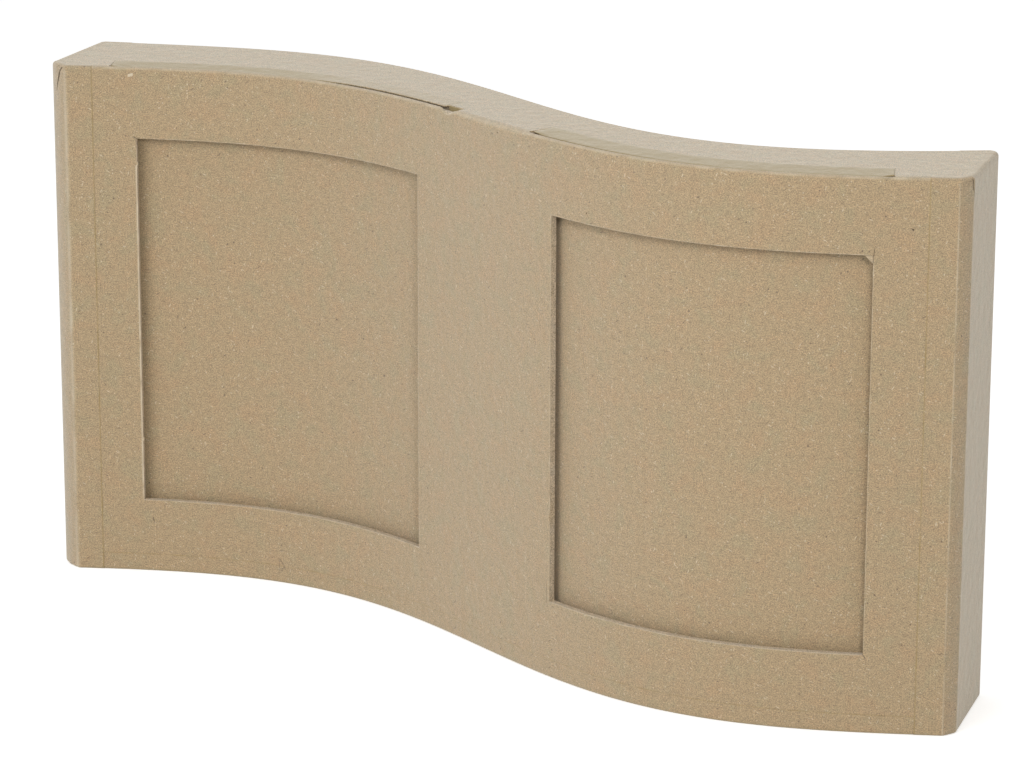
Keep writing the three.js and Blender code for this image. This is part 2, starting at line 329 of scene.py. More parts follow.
class Outline:
    """The closed outline of the body, measured by the distance along it from the front left corner.
    It runs along the front to the right, round the right end, back along the rear and round the left end."""

    WAVE_STEP = 1 * MM
    ARC_STEPS = 30
    LEAST_END = 1 * MM
    SAME_PLACE = 1e-9

    def __init__(self, body):
        self.points = []
        self.normals = []
        self.reach = []
        self.front_xs = []
        self.hull = []
        front = Wave(1, -body.middle_depth / 2, body.front_wave, 0, body.wavelength)
        rear = Wave(-1, body.middle_depth / 2, body.rear_wave, body.end_flare, body.wavelength)
        left = EndFace(body, -1, body.left_lean)
        right = EndFace(body, 1, body.right_lean)
        front_left = Corner(front, left, body.left_facet, body.left_flat)
        front_right = Corner(front, right, body.front_right_radius, body.right_flat)
        rear_left = Corner(rear, left, body.rear_radius)
        rear_right = Corner(rear, right, body.rear_radius)
        self.front_start_x = Corner(front, left, body.front_left_radius).start
        self.front_end_x = front_right.start
        self.add_wave(front, front_left.start, front_right.start, self.front_xs)
        self.front_end = self.reach[-1]
        self.add_corner(front_right, False)
        self.right_facet_end = self.reach[-1]
        self.add_corner(rear_right, True)
        self.rear_start = self.reach[-1]
        self.add_wave(rear, rear_right.start, rear_left.start)
        self.rear_end = self.reach[-1]
        self.add_corner(rear_left, False)
        end_start = self.reach[-1]
        self.add_corner(front_left, True)
        # The end is one straight span, so the facet starts at the first point beyond it
        self.left_facet_start = next(r for r in self.reach if r > end_start + self.LEAST_END)
        self.length = self.reach[-1]
        full = Corner(front, left, body.front_left_radius)
        self.hull += [full.at(i / self.ARC_STEPS)[2] for i in range(self.ARC_STEPS + 1)]
        lowest = Vector((min(p.x for p in self.hull), min(p.y for p in self.hull)))
        shift = CAD_BOX[0].xy - lowest
        self.points = [point + shift for point in self.points]

    def add(self, point, normal):
        """Adds a point, unless it lies on the last one."""
        if not self.points:
            self.reach.append(0)
        else:
            gap = (point - self.points[-1]).length
            if gap < self.SAME_PLACE:
                return
            self.reach.append(self.reach[-1] + gap)
        self.points.append(point)
        self.normals.append(normal)

    def add_wave(self, wave, start, end, xs=None):
        """Adds the points of a wave between two places, and their x to xs."""
        steps = math.ceil(abs(end - start) / self.WAVE_STEP)
        for i in range(steps + 1):
            x = start + (end - start) * i / steps
            self.add(wave.below(x, 0), wave.outward(x))
            self.hull.append(wave.below(x, 0))
            if xs is not None:
                xs.append(x)

    def add_corner(self, corner, backwards):
        """Adds the points of a corner."""
        for i in range(self.ARC_STEPS + 1):
            share = i / self.ARC_STEPS
            point, outward, round_point = corner.at(1 - share if backwards else share)
            self.add(point, outward)
            self.hull.append(round_point)

    def at(self, distance, depth):
        """The point at depth below the surface, distance along the outline."""
        i, share = span_at(self.reach, distance % self.length)
        point = self.points[i].lerp(self.points[i + 1], share)
        normal = self.normals[i].lerp(self.normals[i + 1], share).normalized()
        return point - normal * depth

    def along_front(self, x):
        """The distance along the outline of the front's point at x, measured from the wave's middle."""
        i, share = span_at(self.front_xs, x)
        return mixed(self.reach[i], self.reach[i + 1], share)


class Slot:
    """A top slot and its flap, by distances along the outline and depths below the front. Its lips, drops
    and tips are pairs: for where the flap is pushed down, and for where it has come level."""

    END_DROP = 0.25
    END_BLEND = 5 * MM

    def __init__(self, settings, outline, start, end, gap, fold, level, lips, tips):
        self.start = outline.along_front(start)
        self.end = outline.along_front(end)
        self.flap_start = outline.along_front(start + settings.slit)
        self.flap_end = outline.along_front(end - gap)
        self.notch_end = outline.along_front(end - gap + settings.slit)
        self.fold = settings.channel_front + fold
        self.mouth = settings.channel_back
        self.level = [outline.along_front(start + reach) for reach in level]
        self.lips = lips
        self.drops = (settings.flap_drop, settings.level_drop)
        self.tips = tips

    def level_at(self, distance):
        """0 where the flap is pushed down, and 1 where it has come level."""
        pushed_to, level_from = self.level
        return smooth((distance - pushed_to) / (level_from - pushed_to))

    def drop_at(self, distance):
        """How far the flap's free edge lies below the top, which is less at the flap's ends."""
        from_end = min(distance - self.flap_start, self.end - distance)
        held = mixed(self.END_DROP, 1, smooth(from_end / self.END_BLEND))
        return mixed(*self.drops, self.level_at(distance)) * held

    def tip_at(self, distance):
        """The depth of the flap's free edge."""
        return mixed(*self.tips, self.level_at(distance))

    def lip_drop_at(self, distance):
        """How far the lip in front of the slot lies below the top."""
        return mixed(*self.lips, self.level_at(distance))


class Layout:
    """The outline, windows and slots of the frame, from the settings."""

    def __init__(self, scene):
        self.body = scene.wave_frame_body
        self.windows_set = scene.wave_frame_windows
        self.paper = scene.wave_frame_paper
        self.outline = Outline(self.body)
        w = self.windows_set
        paper = self.paper
        start = self.outline.front_start_x
        end = self.outline.front_end_x
        width = (end - start - 2 * w.stile - w.pillar) / 2
        left = (start + w.stile, start + w.stile + width)
        right = (end - w.stile - width, end - w.stile)
        self.bottom = w.bottom_rail
        self.top = self.body.height - w.top_rail
        self.windows = [tuple(map(self.outline.along_front, span)) for span in (left, right)]
        self.left_slot = Slot(w, self.outline, left[0] - w.left_past_left, left[1] + w.left_past_right,
                              w.left_gap, w.left_fold, (w.pushed_to, w.level_from),
                              (paper.closed_lip, paper.open_lip), (w.closed_tip, w.level_tip))
        # The right flap comes level nowhere
        beyond = end - start
        self.right_slot = Slot(w, self.outline, right[0] - w.right_past_left, right[1] + w.right_past_right,
                               w.slit, w.right_fold, (beyond, 2 * beyond),
                               (paper.middle_lip, paper.middle_lip), (w.middle_tip, w.middle_tip))
        self.slots = [self.left_slot, self.right_slot]


# Sheets


def spaced(start, end, step, *marks):
    """Even stations from start to end, with every mark between them a station of its own."""
    stops = sorted({start, end, *[m for m in marks if start < m < end]})
    stations = []
    for a, b in zip(stops, stops[1:]):
        count = max(1, math.ceil((b - a) / step))
        stations.extend(a + (b - a) * i / count for i in range(count))
    return [*stations, end]


def bend(centre, radius, first, last, steps):
    """Points of a profile round a bend, as (depth, height)."""
    angles = [math.radians(first + (last - first) * i / steps) for i in range(steps + 1)]
    return [(centre[0] - radius * math.cos(a), centre[1] + radius * math.sin(a)) for a in angles]


def mask_layer(bm, name):
    """The mask of that name on the mesh's vertices, made where it is missing."""
    layers = bm.verts.layers.float
    return layers.get(name) or layers.new(name)


def lay_grid(bm, columns, rows, place, runs=None):
    """Adds a grid to bm and lays it with place(column, row). Its UV map holds the sheet's flat size: columns
    across, and up it runs, or else the rows, which are heights or end in them."""
    uv = bm.loops.layers.uv.verify()
    for mask in (PAINTED_SHADE, WEAR_AND_HIGHLIGHT):
        mask_layer(bm, mask)
    across = len(columns) - 1
    up = len(rows) - 1
    made = bmesh.ops.create_grid(bm, x_segments=across, y_segments=up, size=0.5)
    cells = {}
    for vert in made["verts"]:
        cells[vert] = (round((vert.co.x + 0.5) * across), round((vert.co.y + 0.5) * up))
    heights = runs or [row if isinstance(row, float) else row[1] for row in rows]
    faces = {face for vert in made["verts"] for face in vert.link_faces}
    for face in faces:
        for loop in face.loops:
            i, j = cells[loop.vert]
            loop[uv].uv = (columns[i], heights[j])
    for vert, (i, j) in cells.items():
        vert.co = place(columns[i], rows[j])
    return cells


def flat_lengths(profile):
    """The distance along a profile of each of its points."""
    runs = [0.0]
    for (d0, z0), (d1, z1) in zip(profile, profile[1:]):
        runs.append(runs[-1] + math.hypot(d1 - d0, z1 - z0))
    return runs


def upright(depth, start, end, step, *marks):
    """A straight stretch of a profile at one depth."""
    return [(depth, z) for z in spaced(start, end, step, *marks)]


def cut_windows(bm, cells, columns, rows, layout):
    """Deletes each face of a front sheet whose middle lies inside a window."""
    gone = []
    for face in {face for vert in cells for face in vert.link_faces}:
        ids = [cells[vert] for vert in face.verts]
        column = sum(columns[i] for i, j in ids) / len(ids)
        row = sum(rows[j][1] for i, j in ids) / len(ids)
        if layout.bottom < row < layout.top and any(a < column < b for a, b in layout.windows):
            gone.append(face)
    bmesh.ops.delete(bm, geom=gone, context="FACES")


def corner_strokes(outline):
    """The cracks where the end papers fold round the upper front corners. Each is a pair of ends, as
    (distance, height, width)."""
    facet = outline.length - outline.left_facet_start
    left = outline.length
    right = outline.right_facet_end
    strokes = {
        "left_end": [((left - 0.17 * facet, 189.3, 0.3), (left - 0.33 * facet, 187.3, 0.6)),
                     ((left - 0.34 * facet, 187.2, 0.6), (left - 0.58 * facet, 179.8, 0.15))],
        "right_end": [((right - 0.8 * MM, 189.2, 0.6), (right - 0.4 * MM, 185.4, 0.4)),
                      ((right + 0.3 * MM, 188.4, 0.5), (right, 183.2, 0.25)),
                      ((right - 3 * MM, 188.5, 0.15), (right - 1.6 * MM, 188.7, 0.15))],
    }
    return {name: [[(s, z * MM, width * MM) for s, z, width in ends] for ends in pairs]
            for name, pairs in strokes.items()}


def add_object(name, data):
    """A new object in the scene."""
    made = bpy.data.objects.new(name, data)
    bpy.context.scene.collection.objects.link(made)
    return made


def mesh_object(name, bm):
    """A new object with the mesh of bm, which is freed."""
    mesh = bpy.data.meshes.new(name)
    bm.to_mesh(mesh)
    bm.free()
    return add_object(name, mesh)


def add_piece(name, bm, material, replaced, thickness=0, soften=0, cuts=None):
    """Makes the mesh a piece that rides on the body, gives it its thickness and softens its edges. cuts is
    what make_cutter needs for the tears in it."""
    piece = mesh_object(name, bm)
    if thickness:
        solid = piece.modifiers.new("Thickness", "SOLIDIFY")
        solid.thickness = thickness
        solid.offset = -1
        solid.use_even_offset = True
    if soften:
        edges = piece.modifiers.new("Soft edges", "BEVEL")
        edges.width = soften
        edges.segments = 2
        edges.limit_method = "ANGLE"
        edges.angle_limit = math.radians(50)
    if cuts:
        cutter = make_cutter(*cuts)
        cut = piece.modifiers.new("Cuts", "BOOLEAN")
        cut.operation = "DIFFERENCE"
        cut.solver = "MANIFOLD"
        cut.object = cutter
    if piece.modifiers:
        bpy.context.view_layer.update()
        live = piece.data
        done = bpy.data.meshes.new_from_object(piece.evaluated_get(bpy.context.evaluated_depsgraph_get()))
        piece.modifiers.clear()
        piece.data = done
        bpy.data.meshes.remove(live)
        done.name = name
    if cuts:
        # Removing its mesh removes the cutter too
        bpy.data.meshes.remove(cutter.data)
    piece.data.materials.clear()
    piece.data.materials.append(material)
    piece.data.set_sharp_from_angle(angle=math.radians(40))
    for polygon in piece.data.polygons:
        polygon.use_smooth = len(polygon.vertices) <= 4
    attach(piece, BODY)
    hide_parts(*replaced)
    return piece


def wander(distance, seed, size):
    """A small smooth random offset along a cut edge. Each edge has a seed of its own."""
    return size * noise.noise(Vector((distance / (4 * MM), seed, 0)))


def patchy_strength_at(distance, seed, least=0.3):
    """How strong a mark is at a place along it, between least and 1 in most places: it sets pale wear with
    painted highlight on crests and cut edges, and painted shadow along lap edges.
    """
    return min(max(least + 0.9 * noise.noise(Vector((distance / (5 * MM), seed, 7))), 0), 1)


def make_cutter(layout, strokes, deep):
    """A cutter for small tears and overcuts. Each stroke is a pair of ends, as (distance, height, width)."""
    bm = bmesh.new()
    for first, last in strokes:
        along = Vector((last[0] - first[0], last[1] - first[1])).normalized()
        side = Vector((-along.y, along.x))
        made = bmesh.ops.create_cube(bm, size=2)
        for vert in made["verts"]:
            distance, height, width = last if vert.co.x > 0 else first
            offset = side * math.copysign(width / 2, vert.co.y)
            depth = deep if vert.co.z > 0 else -CUT_ABOVE
            place = layout.outline.at(distance + offset.x, depth)
            vert.co = (*place, height + offset.y)
    bmesh.ops.recalc_face_normals(bm, faces=bm.faces[:])
    return mesh_object("cutter", bm)


def front_strokes(layout):
    """Tears, overcuts and dug-out specks of the front, as pairs of (distance, height, width)."""
    pairs = (
        ((-99.1, 9.6, 0.16), (-98.9, 2.6, 0.1)), ((-98.8, 9.3, 0.16), (-96.7, 6.4, 0.2)),
        ((-96.8, 6.2, 0.16), (-98.3, 5.4, 0.12)), ((-98.7, 12.3, 0.3), (-97.3, 12.5, 0.2)),
        ((-146.6, 21.2, 0.3), (-146, 19, 0.2)), ((34.5, 35, 0.12), (34.6, 26.6, 0.2)),
        ((152.25, 163.6, 0.24), (152.45, 166.2, 0.14)), ((152.0, 27.9, 0.2), (153.1, 26.2, 0.16)),
        ((-150.4, 164.6, 0.2), (-149.2, 163.7, 0.34)), ((-168.2, 123, 0.5), (-167.6, 123.2, 0.4)),
        ((51.8, 167.5, 0.5), (52.3, 167.6, 0.4)), ((50.3, 162.6, 0.4), (50.8, 162.5, 0.5)),
        ((8.7, 187, 0.4), (9.3, 187, 0.3)), ((163.4, 172.9, 0.6), (164, 172.6, 0.4)),
        ((-88.2, 14.6, 0.4), (-87.6, 14.5, 0.3)),
    )
    along = layout.outline.along_front
    return [[(along(x * MM), z * MM, width * MM) for x, z, width in ends] for ends in pairs]


def scrap_corners(layout):
    """The corners of the scrap in the right window, as (distance, height)."""
    side = 2.7 * MM
    gap = 0.14 * MM
    across = layout.windows[1][1] - gap
    top = layout.top - gap
    return [(across - side, top), (across, top - side), (across, top)]


# Materials


# Specks and fibres, as (cells per millimetre, radius, share of cells that hold one, turn, stretch)
PALE_SPECKS = (
    (0.85, 0.24, 0.33),
    (0.55, 0.2, 0.2, 0.5, (0.38, 2.4, 1.0)),
    (0.5, 0.19, 0.16, 1.9, (0.4, 2.2, 1.0)),
)
DARK_SPECKS = (
    (0.42, 0.17, 0.2),
    (0.4, 0.17, 0.13, 2.5, (0.4, 2.6, 1.0)),
    (1.0, 0.2, 0.14),
)


class Nodes:
    """Short ways to add linked nodes to a tree."""

    def __init__(self, tree):
        self.tree = tree

    def feed(self, node, inputs):
        """Links or sets a node's inputs, by name or number."""
        for key, value in dict(inputs).items():
            if isinstance(value, bpy.types.NodeSocket):
                self.tree.links.new(value, node.inputs[key])
            else:
                node.inputs[key].default_value = value

    def add(self, kind, inputs=(), **settings):
        """A new node with its settings and inputs."""
        node = self.tree.nodes.new(kind)
        for key, value in settings.items():
            setattr(node, key, value)
        self.feed(node, inputs)
        return node

    def math(self, operation, a, b=0.0, c=0.0):
        return self.add("ShaderNodeMath", enumerate((a, b, c)), operation=operation).outputs[0]

    def most(self, first, *others):
        """The largest of several masks."""
        for other in others:
            first = self.math("MAXIMUM", first, other)
        return first

    def scale(self, vector, factors):
        return self.add("ShaderNodeVectorMath", {0: vector, 1: factors}, operation="MULTIPLY").outputs[0]

    def noise(self, vector, scale, detail=2.0, roughness=0.5, distortion=0.0):
        return self.add("ShaderNodeTexNoise", {
            "Vector": vector, "Scale": scale, "Detail": detail, "Roughness": roughness,
            "Distortion": distortion,
        }).outputs["Fac"]

    def ramp(self, value, low, high, start=0.0, end=1.0):
        """value taken from low..high to start..end, clamped and smooth."""
        return self.add("ShaderNodeMapRange", {
            "Value": value, "From Min": low, "From Max": high, "To Min": start, "To Max": end,
        }, interpolation_type="SMOOTHSTEP", clamp=True).outputs["Result"]

    def mix(self, factor, a, b, blend="MIX"):
        node = self.add("ShaderNodeMix", {0: factor, 6: a, 7: b}, data_type="RGBA", blend_type=blend)
        return node.outputs[2]

    def spots(self, vector, scale, radius, share, turn=0.0, stretch=(1.0, 1.0, 1.0)):
        """A mask of scattered spots. share is the share of cells that hold one."""
        turned = self.add("ShaderNodeVectorRotate", {"Vector": vector, "Angle": turn}, rotation_type="Z_AXIS")
        cells = self.add("ShaderNodeTexVoronoi", {
            "Vector": self.scale(turned.outputs[0], stretch), "Scale": scale, "Randomness": 1.0,
        }, feature="F1")
        near = self.ramp(cells.outputs["Distance"], radius, radius * 0.55)
        parts = self.add("ShaderNodeSeparateColor", {0: cells.outputs["Color"]})
        chosen = self.math("LESS_THAN", parts.outputs[0], share)
        strength = self.math("MULTIPLY_ADD", parts.outputs[1], 0.7, 0.3)
        return self.math("MULTIPLY", self.math("MULTIPLY", near, chosen), strength)


def group_tree(name, inputs, outputs):
    """An empty node group: its nodes, the sockets that it is given, and its output node."""
    tree = bpy.data.node_groups.new(name, "ShaderNodeTree")
    for label, kind, default in inputs:
        socket = tree.interface.new_socket(name=label, in_out="INPUT", socket_type="NodeSocket" + kind)
        if default is not None:
            socket.default_value = default
    for label, kind in outputs:
        tree.interface.new_socket(name=label, in_out="OUTPUT", socket_type="NodeSocket" + kind)
    nodes = Nodes(tree)
    return nodes, nodes.add("NodeGroupInput").outputs, nodes.add("NodeGroupOutput")


def pulp_group():
    """Recycled pulp: soft patches of two tones, fine grain, and specks and fibres, pale and dark. Vector is
    in millimetres, so the noises' scales are repeats per millimetre."""
    colours = [(label, "Color", None) for label in ("Base", "Warm", "Cool", "Dark", "Light")]
    nodes, given, out = group_tree(
        PULP,
        [("Vector", "Vector", None), *colours, ("Grain", "Float", 1.0), ("Specks", "Float", 1.0)],
        [("Color", "Color"), ("Height", "Float"), ("Rough", "Float")],
    )
    vector = given["Vector"]
    patches = nodes.noise(vector, 0.11, 3.0, 0.55, 0.4)
    cockle = nodes.noise(vector, 0.21)
    cloud = nodes.noise(vector, 0.5, 3.0, 0.6)
    fine = nodes.noise(vector, 1.9, 2.0, 0.75)
    grit = nodes.noise(vector, 4.2, 1.0)

    tone = nodes.mix(nodes.ramp(patches, 0.52, 0.66), given["Base"], given["Warm"])
    tone = nodes.mix(nodes.ramp(patches, 0.48, 0.34), tone, given["Cool"])
    grain = nodes.math("ADD", nodes.math("SUBTRACT", fine, 0.5), nodes.math("SUBTRACT", grit, 0.5))
    grain = nodes.math("MULTIPLY_ADD", grain, 2.0, nodes.ramp(cloud, 0.28, 0.72, -0.08, 0.08))
    level = nodes.math("MULTIPLY_ADD", grain, given["Grain"], 1.0)
    grey = nodes.add("ShaderNodeCombineColor", dict.fromkeys(range(3), level))
    tone = nodes.mix(1.0, tone, grey.outputs[0], "MULTIPLY")

    # Fibres are bent by a drift of their place
    drift = nodes.add("ShaderNodeTexNoise", {"Vector": vector, "Scale": 0.6})
    shift = nodes.scale(drift.outputs["Color"], (0.9, 0.9, 0.0))
    curved = nodes.add("ShaderNodeVectorMath", {0: vector, 1: shift}, operation="ADD").outputs[0]
    pale, dark = (nodes.most(*[nodes.spots(curved, *kind) for kind in kinds])
                  for kinds in (PALE_SPECKS, DARK_SPECKS))
    for mask, strength, label in ((pale, 0.62, "Light"), (dark, 0.85, "Dark")):
        amount = nodes.math("MULTIPLY", nodes.math("MULTIPLY", mask, given["Specks"]), strength)
        tone = nodes.mix(amount, tone, given[label])

    height = fine
    for part, weight in ((grit, 0.4), (pale, 0.25), (cockle, 5.0), (cloud, 1.2)):
        height = nodes.math("MULTIPLY_ADD", part, weight, height)
    nodes.feed(out, {"Color": tone, "Height": height, "Rough": nodes.ramp(fine, 0.3, 0.7, 0.6, 0.75)})
    return nodes.tree


def pulp_material(name, colours, source, grain, specks, relief, sheen, mesh_masks=()):
    """Kraft paper or greyboard. source is the coordinate output that its pattern follows, relief its depth,
    and the last argument lists masks kept on the mesh, painted shade and pale wear with painted highlight,
    each with the colour and the strength that it brings."""
    material = bpy.data.materials.get(name)
    if material:
        return material
    material = bpy.data.materials.new(name)
    material.use_nodes = True
    nodes = Nodes(material.node_tree)
    place = nodes.add("ShaderNodeTexCoord").outputs[source]
    pulp = nodes.add("ShaderNodeGroup", node_tree=bpy.data.node_groups.get(PULP) or pulp_group())
    nodes.feed(pulp, {"Vector": nodes.scale(place, (1 / MM,) * 3), "Grain": grain, "Specks": specks})
    nodes.feed(pulp, {label: (*value, 1.0) for label, value in colours.items()})
    tone = pulp.outputs["Color"]
    for mask, tint, strength in mesh_masks:
        amount = nodes.add("ShaderNodeAttribute", attribute_name=mask).outputs["Fac"]
        tone = nodes.mix(nodes.math("MULTIPLY", amount, strength), tone, (*tint, 1.0))
    bump = nodes.add("ShaderNodeBump", {
        "Strength": 1.0, "Distance": relief, "Height": pulp.outputs["Height"],
    })
    nodes.feed(material.node_tree.nodes["Principled BSDF"], {
        "Base Color": tone,
        "Roughness": pulp.outputs["Rough"],
        "Normal": bump.outputs[0],
        "Specular IOR Level": 0.4,
        "Sheen Weight": sheen,
        "Sheen Roughness": 0.6,
        "Sheen Tint": (1.0, 0.97, 0.9, 1.0),
    })
    return material


def paper_colours():
    """The pulp's colours for kraft paper."""
    paper = bpy.context.scene.wave_frame_paper
    return {label: getattr(paper, label.lower()) for label in ("Base", "Warm", "Cool", "Dark", "Light")}


def kraft_paper(name="kraft_paper_cover", grain=1.0, specks=1.0):
    """The covering paper, with painted shade, and with pale wear and painted highlight, from masks on its
    mesh.
    """
    paper = bpy.context.scene.wave_frame_paper
    mesh_masks = [(PAINTED_SHADE, paper.painted_shade, 0.6), (WEAR_AND_HIGHLIGHT, paper.worn, 0.6)]
    return pulp_material(name, paper_colours(), "UV", grain, specks, relief=0.09 * MM, sheen=0.78,
                         mesh_masks=mesh_masks)


def greyboard():
    """The raw board, with the paper's specks."""
    board = bpy.context.scene.wave_frame_board
    colours = {**paper_colours(), "Base": board.base, "Warm": board.warm, "Cool": board.cool}
    return pulp_material("greyboard_raw", colours, "Object", 1.0, 0.6, relief=0.1 * MM, sheen=0.15)


# Operators


class WaveFrameOperator:
    """What every operator of this add-on shares. Each has a make method that does its work."""

    bl_options = {"REGISTER", "UNDO"}

    def execute(self, context):
        self.make(context, Layout(context.scene))
        return {"FINISHED"}


def rim_profile(layout, lay, rim):
    """From the top edge of a side, over the rim and a short way over the top."""
    paper = layout.paper
    top = layout.body.height - lay
    profile = bend((lay + rim, top - rim), rim, 0, 90, RIM_STEPS)
    return profile + [(paper.turn_over - 0.4 * MM, top), (paper.turn_over, top)]


def lip_profile(layout, lay, drop):
    """From the top edge of the front, round the lip and down into the slot behind it. It has as many points
    as a rim's profile."""
    back = layout.windows_set.channel_front + 0.08 * MM
    radius = (back - lay) / 2
    centre = (lay + radius, layout.body.height - lay - drop - radius)
    profile = bend(centre, radius, 0, 90, RIM_STEPS) + bend(centre, radius, 90, 180, 1)[1:]
    return profile + [(back, layout.body.height - 3.6 * MM)]


class WAVEFRAME_OT_upright_boards(WaveFrameOperator, Operator):
    """Bends the four upright boards, cuts both windows and rounds the edge that the paper turns over"""

    bl_idname = "wave_frame.upright_boards"
    bl_label = "Upright boards"

    def make(self, context, layout):
        outline = layout.outline
        butt = 0.1 * MM
        for name, start, end, step in (
            ("front", 0, outline.front_end, 2 * MM),
            ("right_end", outline.front_end, outline.rear_start, 0.6 * MM),
            ("rear", outline.rear_start, outline.rear_end, 2 * MM),
            ("left_end", outline.rear_end, outline.length, 0.6 * MM),
        ):
            self.add_board(layout, name, start + butt, end - butt, step)

    def add_scrap(self, bm, layout):
        """The small triangle left standing in the upper right corner of the right window."""
        outline = layout.outline
        front = 0.8 * MM
        back = 2.3 * MM
        corners = scrap_corners(layout)
        across = corners[2][0]
        face = bm.faces.new([bm.verts.new((*outline.at(s, front), z)) for s, z in corners])
        made = bmesh.ops.extrude_face_region(bm, geom=[face])
        for vert in made["geom"]:
            if isinstance(vert, bmesh.types.BMVert):
                vert.co.xy += outline.at(across, back) - outline.at(across, front)
        bmesh.ops.recalc_face_normals(bm, faces=bm.faces[:])

    def add_board(self, layout, name, start, end, step):
        """One bent board between two places along the outline."""
        settings = layout.windows_set
        replaced = name + "_panel"
        windows = layout.windows if name == "front" else ()
        under_rim = 0.7 * MM
        rim_width = 0.8 * MM
        low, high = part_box(replaced)
        top = high.z - under_rim
        columns = spaced(start, end, step, *[edge for window in windows for edge in window])
        rows = list(enumerate(spaced(low.z, top, 4 * MM, layout.bottom, layout.top)))
        bm = bmesh.new()
        cells = lay_grid(bm, columns, rows,
                         lambda s, row: (*layout.outline.at(s, settings.under_paper), row[1]))
        if windows:
            cut_windows(bm, cells, columns, rows, layout)
        bm.normal_update()
        bmesh.ops.solidify(bm, geom=bm.faces[:], thickness=settings.board)
        bm.normal_update()
        rims = [edge for edge in bm.edges
                if all(vert in cells and vert.co.z > top - 1e-6 for vert in edge.verts)]
        bmesh.ops.bevel(bm, geom=rims, offset=rim_width, segments=3, profile=0.5, affect="EDGES", material=-1)
        cuts = None
        if windows:
            self.add_scrap(bm, layout)
            cuts = (layout, front_strokes(layout), FRONT_CUT)
        elif name != "rear":
            cuts = (layout, corner_strokes(layout.outline)[name], CORNER_CUT)
        add_piece(name + "_board", bm, greyboard(), [replaced], cuts=cuts)


